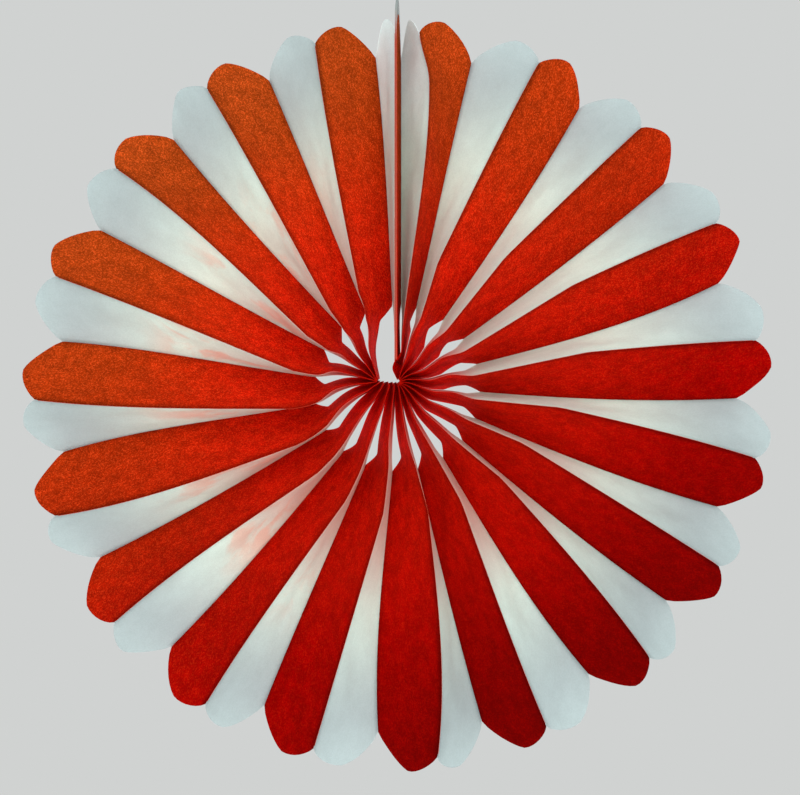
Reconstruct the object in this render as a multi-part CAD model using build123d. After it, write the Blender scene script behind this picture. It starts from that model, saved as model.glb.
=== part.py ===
"""Paper fan rosette: a stack of die-cut tissue leaves, opened right round into a pleated wheel.

Red and white leaves take turns. Each leaf is glued to one neighbour along its front edge, which
makes a ridge, and to the other along its back edge, which makes a valley. Two cover cards meet
face to face at twelve o'clock and carry the hole that the fan hangs by.

Every leaf has one outline, cut through the whole stack at once: a pointed arch at the rim, and a
leaf-shaped window in the back edge near the hub, so that the opened wheel shows a ring of windows.

Units are millimetres. +Z is up, the front of the fan faces -Y, and the hub axis runs along Y.
Azimuths are degrees, clockwise from twelve o'clock as seen from the front. The model is worked
out about the hub and then moved, so that its origin is the centre of the hanging hole.
"""
from build123d import *
import math
import os

# Leaf: its flat size and its outline
LEAF_WIDTH = 50.0
TIP_REACH = 200.0
ARCH_RISE = 16.5
ARCH_BULGE = 3.0
TIP_RADIUS = 1.5
PAPER = 0.15
GLUE_BAND = 2.4
HUB_RADIUS = 2.2

# Window in the back edge of every leaf
WINDOW_INNER = 10.0
WINDOW_OUTER = 47.0
WINDOW_SHOULDER = 37.0
WINDOW_DEPTH = 18.0
WINDOW_SIDE_BULGE = 2.5
SHOULDER_RADIUS = 6.0

# How the paper stands between a ridge and a valley
STEEP_FRONT = 0.85
PANEL_STEPS = 5
RIM_SHARE = 0.51
CLOSE_RADIUS = 48.0
LEAST_GAP = 0.08

# How far the front folds hang below the back folds, how far the valleys sag between their
# ends, and how many degrees the first ridge swings out on its way
FRONT_SAG = 3.8
VALLEY_SAG = 1.6
SEAM_BELLY = 2.5
BELLY_START = 35.0

# Round the wheel: the first ridge, the spacing, how far each petal stands from even spacing, and
# the share of the spacing that the white leaf before each ridge keeps near the hub
FIRST_RIDGE = 4.7
PITCH = 19.0
PETAL_SHIFT = (-1.7, -0.5, 0, 0.5, 1.3, 1, 0, -1, -0.5, -2, -1.5, -2.2, -2, -2, -2.3, -1.3, -0.4, 0, -0.2)
HUB_SHARE = (0, 0.2, 0.3, 0.36, 0.34, 0.28, 0.2, 0.2, 0.17, 0.15, 0.15, 0.14, 0.12, 0.1, 0.07, 0.07,
             0.07, 0.05, 0.07)

# Cover cards at the seam
CARD_THICKNESS = 0.5
CARD_LONGER = 8.0
SEAM_LEAN = 2.2
SEAM_INNER = 12.0
HANG_HOLE_RADIUS = 1.5
HANG_HOLE_FROM_TIP = 5.0

PAIRS = len(PETAL_SHIFT)
CORNER_REACH = TIP_REACH - ARCH_RISE
PAST_EDGE = 6.0
CUTTER_HALF = 0.8 * LEAF_WIDTH
OPEN_SECTIONS = 4
SECTION_RADII = (HUB_RADIUS, WINDOW_INNER, SEAM_INNER, (SEAM_INNER + CLOSE_RADIUS) / 2) + tuple(
    CLOSE_RADIUS + (CORNER_REACH - CLOSE_RADIUS) * step / OPEN_SECTIONS
    for step in range(OPEN_SECTIONS + 1)) + (TIP_REACH + PAST_EDGE,)
LEAN_ANGLE = math.atan2(SEAM_LEAN, LEAF_WIDTH)
HANG_HOLE_REACH = TIP_REACH + CARD_LONGER - HANG_HOLE_FROM_TIP


def arc_chord(radius, degrees):
    """Straight distance between two points at one radius."""
    return 2 * radius * math.sin(math.radians(degrees) / 2)


def white_span(index, radius):
    """Degrees that a white leaf shows: wide at the rim, and nearly edge-on from the windows inwards."""
    rim = arc_chord(CORNER_REACH, PITCH * (1 - RIM_SHARE))
    opening = rim * (radius - CLOSE_RADIUS) / (CORNER_REACH - CLOSE_RADIUS)
    at_hub = HUB_SHARE[index] * arc_chord(radius, PITCH)
    return math.degrees(max(opening, at_hub, PAPER + LEAST_GAP) / radius)


def belly(radius):
    """From 0 at the hub's end of a fold over 1 in its middle to 0 at the arch."""
    along = max((radius - BELLY_START) / (CORNER_REACH - BELLY_START), 0.0)
    return 4 * along * (1 - along)


def valley_azimuth(index, radius):
    """A full valley runs out from the hub and sags; the last is the seam's, behind the red leaf."""
    if index < PAIRS:
        straight = FIRST_RIDGE + PITCH * (index + RIM_SHARE) + PETAL_SHIFT[index]
        down = VALLEY_SAG * math.sin(math.radians(straight)) * belly(radius)
        return straight + math.degrees(down / radius)
    across = LEAF_WIDTH / 2 * math.sin(LEAN_ANGLE) + CARD_THICKNESS + PAPER
    return 360.0 + math.degrees(math.asin(across / max(radius, SEAM_INNER)))


def ridge_azimuth(index, radius):
    """A ridge keeps beside the valley before it; the seam has a ridge on each side."""
    if index == 0:
        return FIRST_RIDGE + SEAM_BELLY * belly(radius)
    if index < PAIRS:
        before = FIRST_RIDGE + PITCH * (index - 1 + RIM_SHARE) + PETAL_SHIFT[index]
        return before + white_span(index, radius)
    across = LEAF_WIDTH / 2 * math.sin(LEAN_ANGLE) + CARD_THICKNESS
    return 360.0 - math.degrees(math.asin(across / max(radius, SEAM_INNER)))


def half_depth(index, radius, ridge):
    """Half the depth of the pleats at a fold, from the width that the paper keeps."""
    if index == PAIRS:
        return LEAF_WIDTH / 2 * math.cos(LEAN_ANGLE)
    if ridge:
        here = ridge_azimuth(index, radius)
        before = valley_azimuth(index - 1, radius) if index else valley_azimuth(PAIRS, radius) - 360.0
        after = valley_azimuth(index, radius)
    else:
        here = valley_azimuth(index, radius)
        before = ridge_azimuth(index, radius)
        after = ridge_azimuth(index + 1, radius)
    chord = (arc_chord(radius, here - before) + arc_chord(radius, after - here)) / 2
    return math.sqrt(LEAF_WIDTH ** 2 - chord ** 2) / 2


def section_path(ridge_across, valley_across, front, back, hand):
    """Middle line of a leaf across its width: a glue band, the curved panel, a glue band."""
    start = ridge_across + hand * PAPER / 2
    end = valley_across - hand * PAPER / 2
    path = [(start, front)]
    for step in range(PANEL_STEPS + 1):
        along = step / PANEL_STEPS
        swing = STEEP_FRONT * along + (1 - STEEP_FRONT) * along ** 2
        path.append((start + (end - start) * swing,
                     front + GLUE_BAND + (back - front - 2 * GLUE_BAND) * along))
    path.append((end, back))
    return path


def thicken_path(path):
    """Closed outline of a strip of paper about a path, mitred at its bends."""
    sides = ([], [])
    for place, point in enumerate(path):
        before = path[max(place - 1, 0)]
        after = path[min(place + 1, len(path) - 1)]
        first = Vector(point[0] - before[0], point[1] - before[1])
        second = Vector(after[0] - point[0], after[1] - point[1])
        first = (first if place else second).normalized()
        second = (second if place < len(path) - 1 else first).normalized()
        bisector = (first + second).normalized()
        reach = PAPER / 2 / bisector.dot(first)
        normal = Vector(-bisector.Y, bisector.X) * reach
        sides[0].append((point[0] + normal.X, point[1] + normal.Y))
        sides[1].append((point[0] - normal.X, point[1] - normal.Y))
    return sides[0] + sides[1][::-1]


def side_plane(azimuth):
    """Plane through the hub axis, seen from the side: X runs back, Y runs out along the azimuth."""
    turn = math.radians(azimuth)
    return Plane(origin=(0, 0, 0), x_dir=(0, 1, 0), z_dir=(math.cos(turn), 0, -math.sin(turn)))


def sag(depth):
    """How far a spot at a depth hangs below the back edge."""
    return FRONT_SAG * (0.5 - depth / LEAF_WIDTH)


def die_outline(arch_front, arch_back, longer=0.0, downwards=0.0):
    """The die's outline, from the side: straight edges, a pointed arch, a window in the back edge.

    Below the arch's two corners the outline is wider than the sheet, which has its own edges. The
    share of the sag that runs outwards along the leaf is given by downwards.
    """
    edge = LEAF_WIDTH / 2
    outer = edge + PAST_EDGE
    middle = (arch_front + arch_back) / 2
    half = (arch_back - arch_front) / 2
    corner = CORNER_REACH + longer
    slant = math.hypot(half, ARCH_RISE)
    bulge_across = ARCH_RISE * ARCH_BULGE / slant
    bulge_along = ARCH_RISE / 2 + half * ARCH_BULGE / slant

    def spot(depth, reach):
        return (depth, reach + downwards * sag(depth))

    tip = spot(middle, TIP_REACH + longer)
    shoulder = spot(edge - WINDOW_DEPTH, WINDOW_SHOULDER)
    side = spot(edge - WINDOW_DEPTH / 2 - WINDOW_SIDE_BULGE, (WINDOW_INNER + WINDOW_SHOULDER) / 2)
    with BuildSketch() as sketch:
        with BuildLine():
            Polyline((outer, WINDOW_INNER), (outer, -outer), (-outer, -outer),
                     spot(-outer, corner), spot(arch_front, corner))
            ThreePointArc(spot(arch_front, corner),
                          spot(middle - half / 2 - bulge_across, corner + bulge_along), tip)
            ThreePointArc(tip, spot(middle + half / 2 + bulge_across, corner + bulge_along),
                          spot(arch_back, corner))
            Polyline(spot(arch_back, corner), spot(outer, corner), (outer, WINDOW_OUTER),
                     spot(edge, WINDOW_OUTER), shoulder)
            ThreePointArc(shoulder, side, spot(edge, WINDOW_INNER))
            Line(spot(edge, WINDOW_INNER), (outer, WINDOW_INNER))
        make_face()
        for place, radius in ((shoulder, SHOULDER_RADIUS), (tip, TIP_RADIUS)):
            fillet(sketch.vertices().sort_by_distance(Vector(*place))[0], radius=radius)
    return sketch.sketch


def leaf_section(ridge, valley, radius):
    """Plane of a leaf's section at a radius, how far out it lies, and its ridge's and valley's spots."""
    front_azimuth = ridge_azimuth(ridge, radius)
    back_azimuth = valley_azimuth(valley, radius)
    back_azimuth -= 360.0 * round((back_azimuth - front_azimuth) / 360.0)
    span = front_azimuth - back_azimuth
    return (side_plane(front_azimuth - span / 2), radius * math.cos(math.radians(span) / 2),
            arc_chord(radius, span) / 2, -half_depth(ridge, radius, True), half_depth(valley, radius, False))


def pleated_leaf(ridge, valley, hand, inner):
    """A leaf from a ridge to a valley; hand is 1 where the valley is clockwise of the ridge."""
    wires = []
    for radius in (reach for reach in SECTION_RADII if reach >= inner):
        plane, out, across, front, back = leaf_section(ridge, valley, radius)
        strip = thicken_path(section_path(across, -across, front, back, hand))
        wires.append(Wire.make_polygon(
            [plane.from_local_coords((depth, out, place)) - Vector(0, 0, sag(depth))
             for place, depth in strip]))
    sheet = Solid.make_loft(wires, ruled=True)
    plane, out, across, front, back = leaf_section(ridge, valley, CORNER_REACH)
    outline = plane * die_outline(front, back, downwards=-plane.y_dir.Z)
    return sheet & extrude(outline, amount=CUTTER_HALF, both=True)


def seam_sheet(nearer, thickness, longer=0.0):
    """A flat piece parallel to the seam, from a distance off it, with the die's own outline."""
    flat = Plane(origin=(0, 0, 0), x_dir=(math.sin(LEAN_ANGLE), math.cos(LEAN_ANGLE), 0),
                 z_dir=(math.cos(LEAN_ANGLE), -math.sin(LEAN_ANGLE), 0))
    edge = LEAF_WIDTH / 2
    with BuildSketch() as sketch:
        add(die_outline(-edge, edge, longer))
        with Locations((0, SEAM_INNER + TIP_REACH)):
            Rectangle(LEAF_WIDTH, 2 * TIP_REACH, mode=Mode.INTERSECT)
        if longer:
            with Locations((0, HANG_HOLE_REACH)):
                Circle(HANG_HOLE_RADIUS, mode=Mode.SUBTRACT)
    return extrude(flat.offset(nearer) * sketch.sketch, amount=thickness)


def write_piece(shape, name):
    """Writes a piece with the hanging hole's centre at the origin."""
    export_step(Pos(0, 0, -HANG_HOLE_REACH) * shape, f"parts/{name}.step")


os.makedirs("parts", exist_ok=True)
for number in range(1, PAIRS + 1):
    write_piece(pleated_leaf(number - 1, number - 1, 1, HUB_RADIUS), f"red_leaf_{number:02d}")
    if number < PAIRS:
        write_piece(pleated_leaf(number, number - 1, -1, HUB_RADIUS), f"white_leaf_{number:02d}")
write_piece(pleated_leaf(PAIRS, PAIRS - 1, -1, SEAM_INNER), f"white_leaf_{PAIRS:02d}")
write_piece(seam_sheet(CARD_THICKNESS, PAPER), f"red_leaf_{PAIRS + 1:02d}")
write_piece(pleated_leaf(0, PAIRS, -1, SEAM_INNER), f"white_leaf_{PAIRS + 1:02d}")
write_piece(seam_sheet(-CARD_THICKNESS, CARD_THICKNESS, CARD_LONGER), "left_cover_card")
write_piece(seam_sheet(0.0, CARD_THICKNESS, CARD_LONGER), "right_cover_card")
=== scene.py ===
"""Paper fan rosette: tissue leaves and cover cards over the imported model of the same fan.

Metres. +Z is up, the front of the fan faces -Y and the hub axis runs along Y. The origin is the
centre of the hanging hole. Azimuths are degrees, clockwise from twelve o'clock as seen from the
front, and radii are measured from the hub axis.
"""
import bpy
import bmesh
import math
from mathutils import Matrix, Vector, noise


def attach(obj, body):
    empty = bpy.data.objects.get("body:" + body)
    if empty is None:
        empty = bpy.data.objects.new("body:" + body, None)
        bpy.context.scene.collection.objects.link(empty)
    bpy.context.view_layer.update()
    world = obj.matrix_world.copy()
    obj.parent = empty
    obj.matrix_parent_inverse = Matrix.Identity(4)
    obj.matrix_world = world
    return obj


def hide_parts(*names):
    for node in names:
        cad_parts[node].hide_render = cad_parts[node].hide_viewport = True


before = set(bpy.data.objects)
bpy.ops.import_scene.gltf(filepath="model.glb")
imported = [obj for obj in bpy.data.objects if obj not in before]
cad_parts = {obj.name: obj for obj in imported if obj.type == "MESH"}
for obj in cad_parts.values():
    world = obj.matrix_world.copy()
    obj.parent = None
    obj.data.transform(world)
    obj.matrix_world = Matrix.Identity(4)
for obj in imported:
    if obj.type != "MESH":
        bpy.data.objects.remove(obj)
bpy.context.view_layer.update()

# Leaf: its flat size and its outline, as in the solids
MM = 0.001
LEAF_WIDTH = 50.0 * MM
TIP_REACH = 200.0 * MM
ARCH_RISE = 16.5 * MM
CORNER_REACH = TIP_REACH - ARCH_RISE
ARCH_BULGE = 3.0 * MM
TIP_ROUND = 0.05
PAPER = 0.15 * MM
GLUE_BAND = 2.4 * MM
WINDOW_INNER = 10.0 * MM
WINDOW_OUTER = 47.0 * MM
WINDOW_SHOULDER = 37.0 * MM
WINDOW_DEPTH = 18.0 * MM
WINDOW_SIDE_BULGE = 2.5 * MM
SHOULDER_SOFTNESS = 2.0 * MM

# How the paper stands between a ridge and a valley: how much of a leaf's swing is even across its
# depth, the red leaf's share of the pitch at the rim, where the white leaves have closed up and the
# gap that they keep, how far the folds sag, and how far the first ridge bellies out, in degrees
STEEP_FRONT = 0.85
RIM_SHARE = 0.51
CLOSE_RADIUS = 48.0 * MM
LEAST_GAP = 0.08 * MM
FRONT_SAG = 3.8 * MM
VALLEY_SAG = 1.6 * MM
SEAM_BELLY = 2.5
BELLY_START = 35.0 * MM

# How loosely the tissue waves between its folds: the most, as a share of half the pleat's opening
# and as a length, then the waves to a metre of radius and across one leaf
WAVE_SHARE = 0.22
WAVE_MOST = 1.1 * MM
WAVE_LENGTHWAYS = 45.0
WAVE_SIDEWAYS = 2.2

# Round the wheel: the pitch, and how many degrees each petal stands off even spacing
FIRST_RIDGE = 4.7
PITCH = 19.0
PETAL_SHIFT = (-1.7, -0.5, 0, 0.5, 1.3, 1, 0, -1, -0.5, -2,
               -1.5, -2.2, -2, -2, -2.3, -1.3, -0.4, 0, -0.2)
PAIRS = len(PETAL_SHIFT)

# How far each ridge and valley swings off its line halfway out, in degrees
RIDGE_SWING = (-0.4, -0.4, -0.2, -0.7, -0.5, -0.7, -0.2, -1.0, 0.5, -2.0,
               0, 0.7, 1.1, -1.7, -0.9, 0.4, 1.5, 0.4, -0.5)
VALLEY_SWING = (-0.3, 0.5, 0.2, 1.3, 0.5, 0.6, 0.4, 1.2, 0.3, 1.4,
                0.4, -0.4, -0.3, 1.7, 1.3, 0.6, -0.2, 0.4, 0.6)

# The share of its pitch that each white leaf shows at the windows, and the share at the hub, which
# holds out to the reach and has given way to the other where the blend ends
HUB_SHARE = (0, 0.2, 0.3, 0.36, 0.34, 0.28, 0.2, 0.2, 0.17, 0.15,
             0.15, 0.14, 0.12, 0.1, 0.07, 0.07, 0.07, 0.05, 0.07)
INNER_SHARE = (0, 0, 0, 0, 0, 0, 0.05, 0.15, 0.17, 0.27,
               0.25, 0.14, 0.12, 0.25, 0.3, 0.33, 0.33, 0.33, 0.33)
INNER_REACH = 24.0 * MM
INNER_BLEND = 40.0 * MM

# Radii in millimetres at which each red leaf's window starts and has its full depth
RED_WINDOW_FROM = (33, 26, 28, 24, 24, 15, 17, 12) + (10,) * 10 + (2,)
RED_WINDOW_FULL = (37,) * 18 + (8,)

# The leaves' hub ends are drawn to the left, not at all up to one azimuth and fully from another,
# and fully out to one radius and not at all from another
PULL_ASIDE = 10.0 * MM
PULL_FROM = 160.0
PULL_WHOLE = 285.0
PULL_FULL = 12.0 * MM
PULL_REACH = 50.0 * MM

# They are lifted too: where they are drawn aside, and close round the axis all of them
PULL_UP = 4.5 * MM
LIFT_FULL = 3.0 * MM
LIFT_REACH = 20.0 * MM

# The first ridge turns back over the cards' lower end: by how many degrees, and over which radii
COVER_SWING = -30.0
COVER_FULL = 4.0 * MM
COVER_REACH = 20.0 * MM

# The first petal's corner turns towards the seam at the very rim, by these degrees
CORNER_TURN = -1.15
CORNER_TURN_START = 160.0 * MM

# Seam and hub; the tissue reaches nearer to the axis than the solids do, so that the hub is closed
CARD_THICKNESS = 0.5 * MM
SEAM_LEAN = 2.2 * MM
SEAM_INNER = 12.0 * MM
LEAN_ANGLE = math.atan2(SEAM_LEAN, LEAF_WIDTH)
HUB_RADIUS = 0.9 * MM
HUB_HEIGHT = -203.0 * MM

# Fineness of the leaf meshes
HUB_STEPS = 44
PAST_WINDOW = 2.0 * MM
LEAF_STEPS = 22
ARCH_STEPS = 18
ARCH_START = 150.0 * MM
PANEL_COLUMNS = 14

# White leaves take their waves from numbers past those of the red ones
WHITE_SEED = 50


def ease(value, low, high):
    """From 0 at the low end to 1 at the high end, level at both."""
    along = min(max((value - low) / (high - low), 0.0), 1.0)
    return along * along * (3 - 2 * along)


def arc_chord(radius, degrees):
    """Straight distance between two points at one radius."""
    return 2 * radius * math.sin(math.radians(degrees) / 2)


def white_span(index, radius):
    """Degrees that a white leaf shows: wide at the rim, and its own share from the windows inwards."""
    rim = arc_chord(CORNER_REACH, PITCH * (1 - RIM_SHARE))
    opening = rim * (radius - CLOSE_RADIUS) / (CORNER_REACH - CLOSE_RADIUS)
    at_windows = ease(radius, INNER_REACH, INNER_BLEND)
    share = INNER_SHARE[index] + (HUB_SHARE[index] - INNER_SHARE[index]) * at_windows
    at_hub = share * arc_chord(radius, PITCH)
    return math.degrees(max(opening, at_hub, PAPER + LEAST_GAP) / radius)


def belly(radius):
    """From 0 at the hub's end of a fold over 1 in its middle to 0 at the arch."""
    along = max((radius - BELLY_START) / (CORNER_REACH - BELLY_START), 0.0)
    return 4 * along * (1 - along)


def valley_azimuth(index, radius):
    """A full valley runs out from the hub and sags; the last is the seam's, behind the red leaf."""
    if index < PAIRS:
        straight = FIRST_RIDGE + PITCH * (index + RIM_SHARE) + PETAL_SHIFT[index]
        down = VALLEY_SAG * math.sin(math.radians(straight)) * belly(radius)
        return straight + math.degrees(down / radius) + VALLEY_SWING[index] * belly(radius)
    across = LEAF_WIDTH / 2 * math.sin(LEAN_ANGLE) + CARD_THICKNESS + PAPER
    return 360.0 + math.degrees(math.asin(across / max(radius, SEAM_INNER)))


def ridge_azimuth(index, radius):
    """A ridge keeps beside the valley before it; the seam has a ridge on each side."""
    if index == 0:
        cover = COVER_SWING * (1 - ease(radius, COVER_FULL, COVER_REACH))
        corner = CORNER_TURN * ease(radius, CORNER_TURN_START, CORNER_REACH)
        return FIRST_RIDGE + (SEAM_BELLY + RIDGE_SWING[0]) * belly(radius) + cover + corner
    if index < PAIRS:
        before = FIRST_RIDGE + PITCH * (index - 1 + RIM_SHARE) + PETAL_SHIFT[index]
        return before + white_span(index, radius) + RIDGE_SWING[index] * belly(radius)
    across = LEAF_WIDTH / 2 * math.sin(LEAN_ANGLE) + CARD_THICKNESS
    return 360.0 - math.degrees(math.asin(across / max(radius, SEAM_INNER)))


def half_depth(index, radius, ridge):
    """Half the depth of the pleats at a fold, from the width that the paper keeps."""
    if index == PAIRS:
        return LEAF_WIDTH / 2 * math.cos(LEAN_ANGLE)
    if ridge:
        here = ridge_azimuth(index, radius)
        before = valley_azimuth(index - 1, radius) if index else valley_azimuth(PAIRS, radius) - 360.0
        after = valley_azimuth(index, radius)
    else:
        here = valley_azimuth(index, radius)
        before = ridge_azimuth(index, radius)
        after = ridge_azimuth(index + 1, radius)
    chord = (arc_chord(radius, here - before) + arc_chord(radius, after - here)) / 2
    return math.sqrt(LEAF_WIDTH ** 2 - chord ** 2) / 2


def window_cut(radius, start, full):
    """How much is cut from a leaf's back edge at a radius.

    The window starts at one radius and has its full depth from another.
    """
    if not start < radius < WINDOW_OUTER:
        return 0.0
    outer = WINDOW_DEPTH * (WINDOW_OUTER - radius) / (WINDOW_OUTER - WINDOW_SHOULDER)
    along = min((radius - start) / (full - start), 1.0)
    inner = WINDOW_DEPTH * along + 4 * WINDOW_SIDE_BULGE * along * (1 - along)
    blend = min(max(0.5 + 0.5 * (inner - outer) / SHOULDER_SOFTNESS, 0.0), 1.0)
    return inner + (outer - inner) * blend - SHOULDER_SOFTNESS * blend * (1 - blend)


def arch_reach(across):
    """The leaf's outer end, from its front edge at 0 over the tip at a half to its back edge at 1."""
    side = abs(2 * across - 1)
    side = (side ** 2 + TIP_ROUND ** 2) ** 0.5 / (1 + TIP_ROUND ** 2) ** 0.5
    return TIP_REACH - ARCH_RISE * side + 4 * ARCH_BULGE * side * (1 - side)


def leaf_radii(inner):
    """Radii of a leaf's rows, close together round the window and at the arch."""
    middle = WINDOW_OUTER + PAST_WINDOW
    rows = [inner + (middle - inner) * step / HUB_STEPS for step in range(HUB_STEPS)]
    rows += [middle + (ARCH_START - middle) * step / LEAF_STEPS for step in range(LEAF_STEPS)]
    rows += [ARCH_START + (TIP_REACH - ARCH_START) * step / ARCH_STEPS
             for step in range(ARCH_STEPS + 1)]
    return rows


def leaf_columns():
    """Shares of the depth across a leaf: a glue band, the panel and a glue band."""
    band = GLUE_BAND / LEAF_WIDTH
    panel = [band + (1 - 2 * band) * step / PANEL_COLUMNS for step in range(PANEL_COLUMNS + 1)]
    return [0.0, band / 2] + panel + [1 - band / 2, 1.0]


def leaf_point(ridge, valley, hand, radius, share, seed):
    """Where a spot of a leaf stands, its share of the depth counted from the ridge.

    The hand is 1 for a red leaf, clockwise of its ridge, and -1 for a white one.
    """
    front_azimuth = ridge_azimuth(ridge, radius)
    back_azimuth = valley_azimuth(valley, radius)
    back_azimuth -= 360.0 * round((back_azimuth - front_azimuth) / 360.0)
    span = front_azimuth - back_azimuth
    across = arc_chord(radius, span) / 2
    front = -half_depth(ridge, radius, True)
    back = half_depth(valley, radius, False)
    depth = front + (back - front) * share
    start = across + hand * PAPER / 2
    end = -across - hand * PAPER / 2
    along = min(max((depth - front - GLUE_BAND) / (back - front - 2 * GLUE_BAND), 0.0), 1.0)
    swing = STEEP_FRONT * along + (1 - STEEP_FRONT) * along ** 2
    place = start + (end - start) * swing
    loose = 4 * along * (1 - along) * min(abs(across) * WAVE_SHARE, WAVE_MOST)
    place += loose * noise.noise(Vector((radius * WAVE_LENGTHWAYS, share * WAVE_SIDEWAYS, seed)))
    turn = math.radians(front_azimuth - span / 2)
    out = radius * math.cos(math.radians(span) / 2)
    sag = FRONT_SAG * (0.5 - depth / LEAF_WIDTH)
    right = out * math.sin(turn) + place * math.cos(turn)
    up = out * math.cos(turn) - place * math.sin(turn)
    fold = front_azimuth - span * swing
    aside = ease(fold, PULL_FROM, PULL_WHOLE) * (1 - ease(radius, PULL_FULL, PULL_REACH))
    aside *= 0 < ridge < PAIRS
    lift = max(aside, 1 - ease(radius, LIFT_FULL, LIFT_REACH))
    return Vector((right - PULL_ASIDE * aside, depth, HUB_HEIGHT + up + PULL_UP * lift - sag))


def new_piece(name, mesh, material, node):
    """Adds a finished piece to the fan and says which part it stands for."""
    piece = bpy.data.objects.new(name, mesh)
    bpy.context.scene.collection.objects.link(piece)
    mesh.materials.append(material)
    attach(piece, "root")
    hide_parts(node)
    return piece


def tissue_leaf(node, ridge, valley, hand, inner, seed, material):
    """One tissue leaf: a sheet stretched row by row from ridge to valley, with the window cut."""
    rows = leaf_radii(inner)
    columns = leaf_columns()
    mesh = bpy.data.meshes.new(node + "_tissue")
    sheet = bmesh.new()
    bmesh.ops.create_grid(sheet, x_segments=len(rows) - 1, y_segments=len(columns) - 1, size=1)
    place_uv = sheet.loops.layers.uv.new("leaf")
    window = (WINDOW_INNER, WINDOW_SHOULDER)
    if hand > 0:
        window = (RED_WINDOW_FROM[valley] * MM, RED_WINDOW_FULL[valley] * MM)
    spots = {}
    for vertex in sheet.verts:
        row = round((vertex.co.x + 1) / 2 * (len(rows) - 1))
        column = round((vertex.co.y + 1) / 2 * (len(columns) - 1))
        share = columns[column] * (1 - window_cut(rows[row], *window) / LEAF_WIDTH)
        radius = rows[row]
        if radius > ARCH_START:
            radius = ARCH_START + (radius - ARCH_START) / (TIP_REACH - ARCH_START) * (
                arch_reach(columns[column]) - ARCH_START)
        spots[vertex] = (radius, share * LEAF_WIDTH)
        vertex.co = leaf_point(ridge, valley, hand, radius, share, seed)
    for face in sheet.faces:
        face.smooth = True
        for loop in face.loops:
            loop[place_uv].uv = spots[loop.vert]
    for edge in sheet.edges:
        edge.smooth = not edge.is_boundary
    if hand < 0:
        bmesh.ops.reverse_faces(sheet, faces=sheet.faces)
    sheet.to_mesh(mesh)
    sheet.free()
    piece = new_piece(node + "_tissue", mesh, material, node)
    thickness = piece.modifiers.new("paper", "SOLIDIFY")
    thickness.thickness = PAPER
    thickness.offset = 0.0


def linear(colour):
    """An sRGB hex colour as linear RGBA."""
    parts = [int(colour[place:place + 2], 16) / 255 for place in (1, 3, 5)]
    parts = [part / 12.92 if part <= 0.04045 else ((part + 0.055) / 1.055) ** 2.4 for part in parts]
    return parts + [1.0]


def add_node(tree, kind, settings=None, **links):
    """Adds a shader node; settings are its own values, and links fill its sockets."""
    node = tree.nodes.new(kind)
    for name, value in (settings or {}).items():
        setattr(node, name, value)
    for name, value in links.items():
        key = int(name[1:]) if name[0] == "n" and name[1:].isdigit() else name.replace("_", " ")
        if isinstance(value, bpy.types.NodeSocket):
            tree.links.new(value, node.inputs[key])
        else:
            node.inputs[key].default_value = value
    return node


# Settings that many nodes share. A noise's values lie round a half, so a mapped range round a half
# says how sharply its pattern shows
COLOURS = {"data_type": "RGBA"}
DARKENED = {"data_type": "RGBA", "blend_type": "MULTIPLY"}
EASED = {"interpolation_type": "SMOOTHSTEP"}
TIMES = {"operation": "MULTIPLY"}


def new_material(name):
    """A material with an empty tree."""
    material = bpy.data.materials.new(name)
    material.use_nodes = True
    material.node_tree.nodes.clear()
    return material, material.node_tree


def outwards(tree, start, end):
    """From 0 at one distance from the hub to 1 at another."""
    where = add_node(tree, "ShaderNodeTexCoord")
    from_hub = add_node(tree, "ShaderNodeVectorMath", {"operation": "MULTIPLY_ADD"},
                        n0=where.outputs["Object"], n1=(1.0, 0.0, 1.0), n2=(0.0, 0.0, -HUB_HEIGHT))
    length = add_node(tree, "ShaderNodeVectorMath", {"operation": "LENGTH"}, n0=from_hub.outputs[0])
    return add_node(tree, "ShaderNodeMapRange", EASED, n0=length.outputs["Value"], n1=start,
                    n2=end).outputs[0]


def along_leaf(tree, start, end, at_start=0.0, at_end=1.0):
    """From one value to another between two radii of a leaf, as its own map has them."""
    where = add_node(tree, "ShaderNodeTexCoord")
    leaf = add_node(tree, "ShaderNodeSeparateXYZ", Vector=where.outputs["UV"])
    return add_node(tree, "ShaderNodeMapRange", EASED, n0=leaf.outputs["X"], n1=start, n2=end,
                    n3=at_start, n4=at_end).outputs[0]


# Tissue. Its real fibres and specks are a few hundredths of a millimetre wide, too fine to show, so
# they are drawn as coarse as they need to show, and a speck counts for more than a fibre
FIBRE_SIZE = 0.9 * MM
SPECK_SIZE = 0.6 * MM
SPECK_SHARE = 0.65
PALE_SHARE = 0.3

# Clouds of thicker pulp, the painted shade along a ridge, and the dyed line of a white leaf's fold
CLOUD_SIZE = 7.0 * MM
RIDGE_SHADE_BAND = 8.0 * MM
EDGE_DYED = 0.35 * MM

# How rough tissue is, how deep its fibres lie, and the share of light that comes through
TISSUE_ROUGHNESS = 0.95
TISSUE_GLOSS = 0.02
FIBRE_RELIEF = 0.1 * MM
RELIEF_STRENGTH = 0.2
GLOW_SHARE = 0.45


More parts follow.
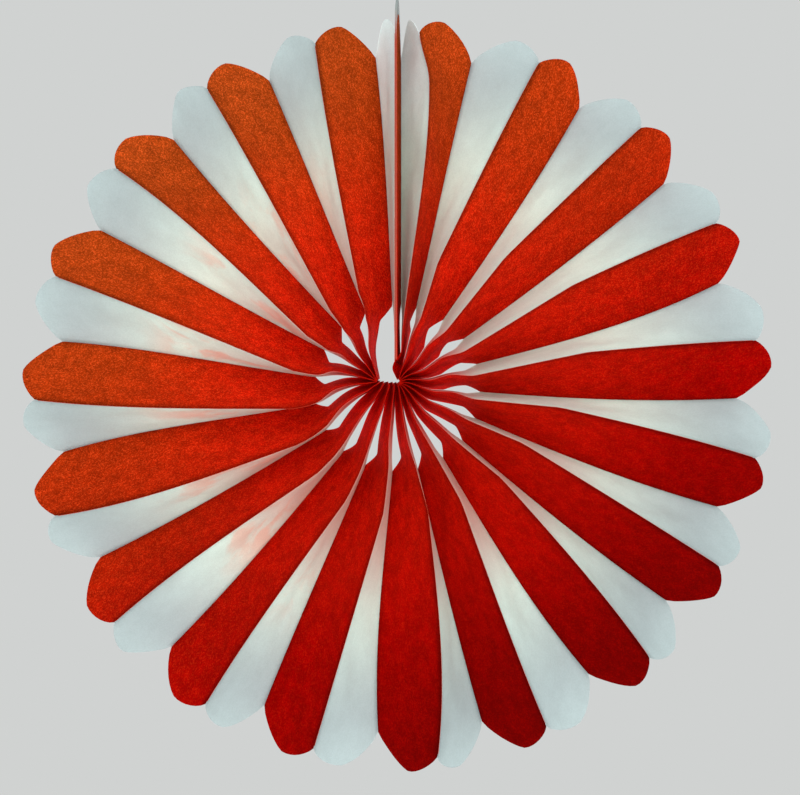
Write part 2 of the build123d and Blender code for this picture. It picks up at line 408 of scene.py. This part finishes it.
def tissue_finish(tree, colour, pale, mottle, ridge_shade, edge=None, roughened=1.0):
    """Tissue over a base colour, matt and thin enough for light to glow through.

    The eye sees fibres and specks, some of them paler, soft clouds where the pulp lies thicker, and
    painted shade in a band along the ridge. The colour of the edge, if there is one, lines the fold
    itself.
    """
    where = add_node(tree, "ShaderNodeTexCoord")
    fibre = add_node(tree, "ShaderNodeTexNoise", Vector=where.outputs["Object"], Scale=1 / FIBRE_SIZE,
                     Detail=2.0, Roughness=0.7)
    cell = add_node(tree, "ShaderNodeVectorMath", {"operation": "SNAP"}, n0=where.outputs["Object"],
                    n1=(SPECK_SIZE, SPECK_SIZE, SPECK_SIZE))
    speck = add_node(tree, "ShaderNodeTexWhiteNoise", Vector=cell.outputs[0])
    coarse = add_node(tree, "ShaderNodeMapRange", EASED, n0=fibre.outputs[0], n1=0.34, n2=0.66)
    flecks = add_node(tree, "ShaderNodeMix", n0=SPECK_SHARE, n2=coarse.outputs[0],
                      n3=speck.outputs["Value"])
    grain = add_node(tree, "ShaderNodeMapRange", EASED, n0=flecks.outputs[0], n1=0.15, n2=0.85,
                     n3=1 - mottle, n4=1 + mottle / 3)
    grain = add_node(tree, "ShaderNodeMix", n0=roughened, n2=1.0, n3=grain.outputs[0])

    cloud = add_node(tree, "ShaderNodeTexNoise", Vector=where.outputs["Object"], Scale=1 / CLOUD_SIZE,
                     Detail=3.0, Roughness=0.55)
    tint = add_node(tree, "ShaderNodeMapRange", EASED, n0=cloud.outputs[0], n1=0.3, n2=0.7,
                    n3=1 - mottle / 2, n4=1 + mottle / 4)
    leaf = add_node(tree, "ShaderNodeSeparateXYZ", Vector=where.outputs["UV"])
    # Painted shade: darker in a band along the ridge
    band = add_node(tree, "ShaderNodeMapRange", EASED, n0=leaf.outputs["Y"], n1=0.0, n2=RIDGE_SHADE_BAND,
                    n3=ridge_shade, n4=1.0)
    shade = add_node(tree, "ShaderNodeMath", TIMES, n0=grain.outputs[0], n1=tint.outputs[0])
    shade = add_node(tree, "ShaderNodeMath", TIMES, n0=shade.outputs[0],
                     n1=band.outputs[0]).outputs[0]
    grey = add_node(tree, "ShaderNodeCombineColor", Red=shade, Green=shade, Blue=shade)

    paler = add_node(tree, "ShaderNodeMapRange", EASED, n0=flecks.outputs[0], n1=0.55, n2=0.9,
                     n3=0.0, n4=PALE_SHARE)
    paler = add_node(tree, "ShaderNodeMath", TIMES, n0=paler.outputs[0], n1=roughened)
    colour = add_node(tree, "ShaderNodeMix", COLOURS, n0=paler.outputs[0], n6=colour, n7=pale)
    colour = add_node(tree, "ShaderNodeMix", DARKENED, n0=1.0, n6=colour.outputs[2],
                      n7=grey.outputs[0]).outputs[2]
    if edge:
        line = add_node(tree, "ShaderNodeMapRange", EASED, n0=leaf.outputs["Y"], n1=EDGE_DYED,
                        n2=2 * EDGE_DYED, n3=1.0, n4=0.0)
        colour = add_node(tree, "ShaderNodeMix", COLOURS, n0=line.outputs[0], n6=colour,
                          n7=edge).outputs[2]

    bump = add_node(tree, "ShaderNodeBump", Height=fibre.outputs[0], Strength=RELIEF_STRENGTH,
                    Distance=FIBRE_RELIEF)
    face = add_node(tree, "ShaderNodeBsdfPrincipled", Base_Color=colour, Roughness=TISSUE_ROUGHNESS,
                    Specular_IOR_Level=TISSUE_GLOSS, Normal=bump.outputs[0])
    through = add_node(tree, "ShaderNodeBsdfTranslucent", Color=colour)
    paper = add_node(tree, "ShaderNodeMixShader", n0=GLOW_SHARE, n1=face.outputs[0],
                     n2=through.outputs[0])
    add_node(tree, "ShaderNodeOutputMaterial", Surface=paper.outputs[0])


# The red goes from strongest at the lower right to most faded at the upper left, along a slope that
# passes its middle at the hub: partly faded dye and partly painted light, lighter where the light
# falls from the upper left. The rim's colours lie on the way, and the others go from strong to faded
FADE_AND_LIGHT_DIRECTION = (-0.55, 0.0, 0.835)
FADE_AND_LIGHT_REACH = 180.0 * MM
RIM_DYES_AND_LIGHT = ((0.0, "#7C0000"), (0.1, "#920000"), (0.25, "#A80000"), (0.42, "#B40F02"),
            (0.75, "#BA3B0A"), (1.0, "#B44A13"))
INNER_DYES_AND_GLOW = ("#B80000", "#F9280A")
PALE_FIBRES = ("#B01400", "#FF7436")
RED_MOTTLE = 0.33

# Painted light: the red is brightest at the hub, for light glowing through the deep pleats, and turns
# into the inner red, also painted bright, and further out into the rim's
HUB_DYE_AND_GLOW = "#FF1404"
HUB_GLOW_END = 12.0 * MM
INNER_GLOW_FULL = 50.0 * MM
RIM_DYE_START = 45.0 * MM
RIM_DYE_FULL = 165.0 * MM


def red_tissue(name, ridge_shade):
    """Dyed tissue, vat-dyed and calendered: matt; its fade to orange-red up and left is partly painted
    light.
    """
    material, tree = new_material(name)
    where = add_node(tree, "ShaderNodeTexCoord")
    # Partly painted light: the red turns lighter and oranger up and left, where the light falls
    slope = add_node(tree, "ShaderNodeVectorMath", {"operation": "DOT_PRODUCT"},
                     n0=where.outputs["Object"], n1=FADE_AND_LIGHT_DIRECTION)
    at_hub = FADE_AND_LIGHT_DIRECTION[2] * HUB_HEIGHT
    fade_and_light = add_node(tree, "ShaderNodeMapRange", n0=slope.outputs["Value"], n1=at_hub - FADE_AND_LIGHT_REACH,
                    n2=at_hub + FADE_AND_LIGHT_REACH).outputs[0]
    rim = add_node(tree, "ShaderNodeValToRGB", Fac=fade_and_light)
    while len(rim.color_ramp.elements) < len(RIM_DYES_AND_LIGHT):
        rim.color_ramp.elements.new(0.5)
    for element, (place, dye) in zip(rim.color_ramp.elements, RIM_DYES_AND_LIGHT):
        element.position = place
        element.color = linear(dye)
    strong_and_shaded, faded_and_lit = INNER_DYES_AND_GLOW
    inner = add_node(tree, "ShaderNodeMix", COLOURS, n0=fade_and_light, n6=linear(strong_and_shaded), n7=linear(faded_and_lit))
    # Painted light: the red turns brighter towards the hub, for light glowing through the deep pleats
    inner = add_node(tree, "ShaderNodeMix", COLOURS, n0=outwards(tree, HUB_GLOW_END, INNER_GLOW_FULL),
                     n6=linear(HUB_DYE_AND_GLOW), n7=inner.outputs[2])
    colour = add_node(tree, "ShaderNodeMix", COLOURS, n0=outwards(tree, RIM_DYE_START, RIM_DYE_FULL),
                      n6=inner.outputs[2], n7=rim.outputs[0])
    strong_and_shaded, faded_and_lit = PALE_FIBRES
    pale = add_node(tree, "ShaderNodeMix", COLOURS, n0=fade_and_light, n6=linear(strong_and_shaded), n7=linear(faded_and_lit))
    roughened = add_node(tree, "ShaderNodeMapRange", EASED, n0=fade_and_light, n1=0.15, n2=0.7, n3=0.55, n4=1.0)
    tissue_finish(tree, colour.outputs[2], pale.outputs[2], RED_MOTTLE, ridge_shade,
                  roughened=roughened.outputs[0])
    return material


# Painted light on the white leaves: red reflected off the red leaves at the hub, less of it by the
# windows; past them, pink shade below the hub and in patches on the left, and a lighter white inwards
# of the rim, against the shade in the pleats
HUB_RED_REFLECTION = "#D01408"
HUB_REFLECTION_END = 6.0 * MM
WINDOW_RED_REFLECTION = "#F09488"
WINDOW_REFLECTION_FULL = 16.0 * MM
WINDOW_REFLECTION_END = 22.0 * MM
# Painted light: the white inside the rim is lighter than at the rim, against the shade in the pleats
BRIGHT_INSIDE = "#E8FAF1"
BRIGHT_INSIDE_FULL = 46.0 * MM
LOW_PINK_SHADE = "#F0B8A4"
LOW_SHADE_SHARE = 0.6
LOW_SHADE_DEPTH = 60.0 * MM
LOW_SHADE_FULL = 55.0 * MM
LOW_SHADE_END = 125.0 * MM
LEFT_PINK_SHADE = "#F4C6B0"
LEFT_SHADE_SHARE = 0.55
LEFT_SHADE_SIZE = 32.0 * MM
LEFT_SHADE_FULL = 105.0 * MM
LEFT_SHADE_END = 150.0 * MM
LEFT_SHADE_FULL_X = -70.0 * MM
LEFT_SHADE_END_X = -25.0 * MM
RIM_START = 110.0 * MM
RIM_FULL = 182.0 * MM
WHITE_MOTTLE = 0.05
# Painted shade along a white leaf's ridge, slight
WHITE_RIDGE_SHADE = 0.97

# The dyed line along a white leaf's fold, at the hub and from the windows outwards
HUB_LINE = "#C80C04"
HUB_LINE_END = 15.0 * MM
OUTER_LINE = "#B8402C"
OUTER_LINE_FULL = 60.0 * MM


def white_tissue(name, rim):
    """Bleached tissue, calendered: matt, cool, dyed at its folds; pinks and the bright inside are
    painted light.
    """
    material, tree = new_material(name)
    where = add_node(tree, "ShaderNodeTexCoord")
    place = add_node(tree, "ShaderNodeSeparateXYZ", Vector=where.outputs["Object"])
    # Painted reflection: red by the hub and pink by the windows, for light off the red leaves
    inner = add_node(tree, "ShaderNodeMix", COLOURS,
                     n0=along_leaf(tree, HUB_REFLECTION_END, WINDOW_REFLECTION_FULL), n6=linear(HUB_RED_REFLECTION),
                     n7=linear(WINDOW_RED_REFLECTION))
    inner = add_node(tree, "ShaderNodeMix", COLOURS, n0=along_leaf(tree, WINDOW_REFLECTION_END, BRIGHT_INSIDE_FULL),
                     n6=inner.outputs[2], n7=linear(BRIGHT_INSIDE))

    # Painted shade, tinted pink by the red leaves, below the hub
    below = add_node(tree, "ShaderNodeMapRange", EASED, n0=place.outputs["Z"],
                     n1=HUB_HEIGHT - LOW_SHADE_DEPTH, n2=HUB_HEIGHT, n3=LOW_SHADE_SHARE, n4=0.0)
    low_shade = add_node(tree, "ShaderNodeMath", TIMES, n0=below.outputs[0],
                     n1=along_leaf(tree, LOW_SHADE_FULL, LOW_SHADE_END, 1.0, 0.0))
    inner = add_node(tree, "ShaderNodeMix", COLOURS, n0=low_shade.outputs[0], n6=inner.outputs[2],
                     n7=linear(LOW_PINK_SHADE))

    # Painted shade, tinted pink by the red leaves, in patches on the left
    left_shade = add_node(tree, "ShaderNodeTexNoise", Vector=where.outputs["Object"], Scale=1 / LEFT_SHADE_SIZE,
                    Detail=4.0, Roughness=0.6, Distortion=0.6)
    left_shade = add_node(tree, "ShaderNodeMapRange", EASED, n0=left_shade.outputs[0], n1=0.46, n2=0.62, n3=0.0,
                    n4=LEFT_SHADE_SHARE)
    left = add_node(tree, "ShaderNodeMapRange", EASED, n0=place.outputs["X"], n1=LEFT_SHADE_FULL_X,
                    n2=LEFT_SHADE_END_X, n3=1.0, n4=0.0)
    left_shade = add_node(tree, "ShaderNodeMath", TIMES, n0=left_shade.outputs[0], n1=left.outputs[0])
    left_shade = add_node(tree, "ShaderNodeMath", TIMES, n0=left_shade.outputs[0],
                    n1=along_leaf(tree, LEFT_SHADE_FULL, LEFT_SHADE_END, 1.0, 0.0))
    inner = add_node(tree, "ShaderNodeMix", COLOURS, n0=left_shade.outputs[0], n6=inner.outputs[2],
                     n7=linear(LEFT_PINK_SHADE))

    # Painted light: lighter white inwards of the rim, against the shade in the pleats
    colour = add_node(tree, "ShaderNodeMix", COLOURS, n0=outwards(tree, RIM_START, RIM_FULL),
                      n6=inner.outputs[2], n7=linear(rim)).outputs[2]
    line = add_node(tree, "ShaderNodeMix", COLOURS, n0=along_leaf(tree, HUB_LINE_END, OUTER_LINE_FULL),
                    n6=linear(HUB_LINE), n7=linear(OUTER_LINE))
    tissue_finish(tree, colour, colour, WHITE_MOTTLE, WHITE_RIDGE_SHADE, line.outputs[2])
    return material


# Cover board. Its flecks of pulp are finer than this, and are drawn as coarse as they need to show.
# Below the leaf tips it is painted red, for the light that the red tissue reflects onto it
PULP_SIZE = 0.6 * MM
BOARD_GREYS = ("#6C7472", "#7E8684")
BOARD_RED_REFLECTION = "#782C20"
REFLECTION_BELOW = -28.0 * MM
NO_REFLECTION_ABOVE = -6.0 * MM


def grey_board():
    """Grey board, pressed from pulp: matt and flecked, painted red low down for light the tissue
    reflects.
    """
    material, tree = new_material("pressed_grey_board_painted_reflection")
    where = add_node(tree, "ShaderNodeTexCoord")
    pulp = add_node(tree, "ShaderNodeTexNoise", Vector=where.outputs["Object"], Scale=1 / PULP_SIZE,
                    Detail=3.0)
    fleck = add_node(tree, "ShaderNodeMapRange", EASED, n0=pulp.outputs[0], n1=0.35, n2=0.65)
    dark, light = BOARD_GREYS
    grey = add_node(tree, "ShaderNodeMix", COLOURS, n0=fleck.outputs[0], n6=linear(dark),
                    n7=linear(light))
    place = add_node(tree, "ShaderNodeSeparateXYZ", Vector=where.outputs["Object"])
    # Painted reflection: the board turns red below the leaf tips, for light off the red tissue
    unreflected = add_node(tree, "ShaderNodeMapRange", EASED, n0=place.outputs["Z"], n1=REFLECTION_BELOW,
                     n2=NO_REFLECTION_ABOVE)
    colour = add_node(tree, "ShaderNodeMix", COLOURS, n0=unreflected.outputs[0], n6=linear(BOARD_RED_REFLECTION),
                      n7=grey.outputs[2])
    bump = add_node(tree, "ShaderNodeBump", Height=pulp.outputs[0], Strength=RELIEF_STRENGTH,
                    Distance=FIBRE_RELIEF)
    face = add_node(tree, "ShaderNodeBsdfPrincipled", Base_Color=colour.outputs[2], Roughness=0.85,
                    Specular_IOR_Level=0.2, Normal=bump.outputs[0])
    add_node(tree, "ShaderNodeOutputMaterial", Surface=face.outputs[0])
    return material


# The white leaves' colour at the rim; the two that flank the seam are painted lighter against the
# cards' shade
WHITE_RIM = "#B6C3C3"
WHITE_RIM_PAINTED_LIGHTER_BY_SEAM = "#F0FAF9"

# The red leaves' painted shade along a ridge; the flat leaf on the card has none
RED_RIDGE_SHADE = 0.5
NO_RIDGE_SHADE = 1.0


def finish_node(node, material):
    """Gives its finish to a part that keeps the shape of its solid."""
    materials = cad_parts[node].data.materials
    materials.clear()
    materials.append(material)


def make_leaves():
    """All the pleated leaves, red and white in turn, clockwise from the seam, and the cards."""
    red = red_tissue("dyed_red_tissue_painted_light", RED_RIDGE_SHADE)
    on_card = red_tissue("red_tissue_on_card_painted_light", NO_RIDGE_SHADE)
    white = white_tissue("bleached_white_tissue_painted_light", WHITE_RIM)
    # The seam's white leaves are painted lighter against the cards' shade
    by_seam = white_tissue("white_tissue_by_seam_painted_lighter", WHITE_RIM_PAINTED_LIGHTER_BY_SEAM)
    for number in range(1, PAIRS + 1):
        last = number == PAIRS
        tissue_leaf(f"red_leaf_{number:02d}", number - 1, number - 1, 1, HUB_RADIUS, number,
                    red)
        tissue_leaf(f"white_leaf_{number:02d}", number, number - 1, -1,
                    SEAM_INNER if last else HUB_RADIUS, WHITE_SEED + number,
                    by_seam if last else white)
    tissue_leaf(f"white_leaf_{PAIRS + 1:02d}", 0, PAIRS, -1, SEAM_INNER, WHITE_SEED + PAIRS + 1,
                by_seam)
    finish_node(f"red_leaf_{PAIRS + 1:02d}", on_card)
    board = grey_board()
    for card in ("left_cover_card", "right_cover_card"):
        finish_node(card, board)


# Studio: the photograph's view, soft light, a pale floor far below the hanging fan
VIEW_DISTANCE = 0.523
VIEW_BELOW = math.radians(3.3)
AIM_RIGHT = 0.0011
AIM_DOWN = 0.0062
LENS = 44.3
NEAREST_SEEN = 0.01
FLOOR_DROP = 1.2
FLOOR_HALF = 2.2
FLOOR_COLOUR = "#D6D8D6"
FLOOR_ROUGHNESS = 0.95

# Each lamp's name, place from the hub, size in metres and power in watts
LAMPS = (("key", (0.0, -1.5, 0.3), 1.4, 28.0),
         ("low_fill", (0.25, -1.4, -0.6), 1.2, 15.0),
         ("back", (0.0, 1.5, 0.2), 1.4, 30.0))
ROOM_LIGHT = "#FAFCFD"
ROOM_STRENGTH = 0.9
ROOM_SEEN = "#D0D2D1"

# Light goes on between the pleats for many bounces
DIFFUSE_BOUNCES = 10
MOST_BOUNCES = 14


def make_camera(hub):
    """The photograph's view of the fan, from a little below."""
    scene = bpy.context.scene
    camera = bpy.data.objects.new("camera", bpy.data.cameras.new("camera"))
    camera.data.lens = LENS
    camera.data.clip_start = NEAREST_SEEN
    camera.location = hub + VIEW_DISTANCE * Vector((0, -math.cos(VIEW_BELOW), -math.sin(VIEW_BELOW)))
    aim = hub + Vector((AIM_RIGHT, 0, -AIM_DOWN))
    camera.rotation_euler = (aim - camera.location).to_track_quat("-Z", "Y").to_euler()
    scene.collection.objects.link(camera)
    scene.camera = camera


def make_floor():
    """A plain pale floor."""
    mesh = bpy.data.meshes.new("floor")
    plane = bmesh.new()
    bmesh.ops.create_grid(plane, x_segments=1, y_segments=1, size=FLOOR_HALF)
    bmesh.ops.translate(plane, verts=plane.verts, vec=(0, 0, HUB_HEIGHT - FLOOR_DROP))
    plane.to_mesh(mesh)
    plane.free()
    floor = bpy.data.objects.new("floor", mesh)
    bpy.context.scene.collection.objects.link(floor)
    material, tree = new_material("matt_pale_floor")
    face = add_node(tree, "ShaderNodeBsdfPrincipled", Base_Color=linear(FLOOR_COLOUR),
                    Roughness=FLOOR_ROUGHNESS)
    add_node(tree, "ShaderNodeOutputMaterial", Surface=face.outputs[0])
    mesh.materials.append(material)


def make_light(hub):
    """Soft lamps before and behind, and a pale surround."""
    scene = bpy.context.scene
    for name, place, size, power in LAMPS:
        lamp = bpy.data.objects.new(name, bpy.data.lights.new(name, "AREA"))
        lamp.data.size = size
        lamp.data.energy = power
        lamp.location = hub + Vector(place)
        lamp.rotation_euler = (hub - lamp.location).to_track_quat("-Z", "Y").to_euler()
        scene.collection.objects.link(lamp)

    world = bpy.data.worlds.new("studio")
    scene.world = world
    world.use_nodes = True
    tree = world.node_tree
    tree.nodes.clear()
    rays = add_node(tree, "ShaderNodeLightPath")
    soft = add_node(tree, "ShaderNodeBackground", Color=linear(ROOM_LIGHT), Strength=ROOM_STRENGTH)
    seen = add_node(tree, "ShaderNodeBackground", Color=linear(ROOM_SEEN), Strength=1.0)
    mixed = add_node(tree, "ShaderNodeMixShader", n0=rays.outputs["Is Camera Ray"], n1=soft.outputs[0],
                     n2=seen.outputs[0])
    add_node(tree, "ShaderNodeOutputWorld", Surface=mixed.outputs[0])
    scene.cycles.diffuse_bounces = DIFFUSE_BOUNCES
    scene.cycles.max_bounces = MOST_BOUNCES


make_leaves()
HUB = Vector((0, 0, HUB_HEIGHT))
make_camera(HUB)
make_floor()
make_light(HUB)
bpy.context.scene.view_settings.view_transform = "Standard"
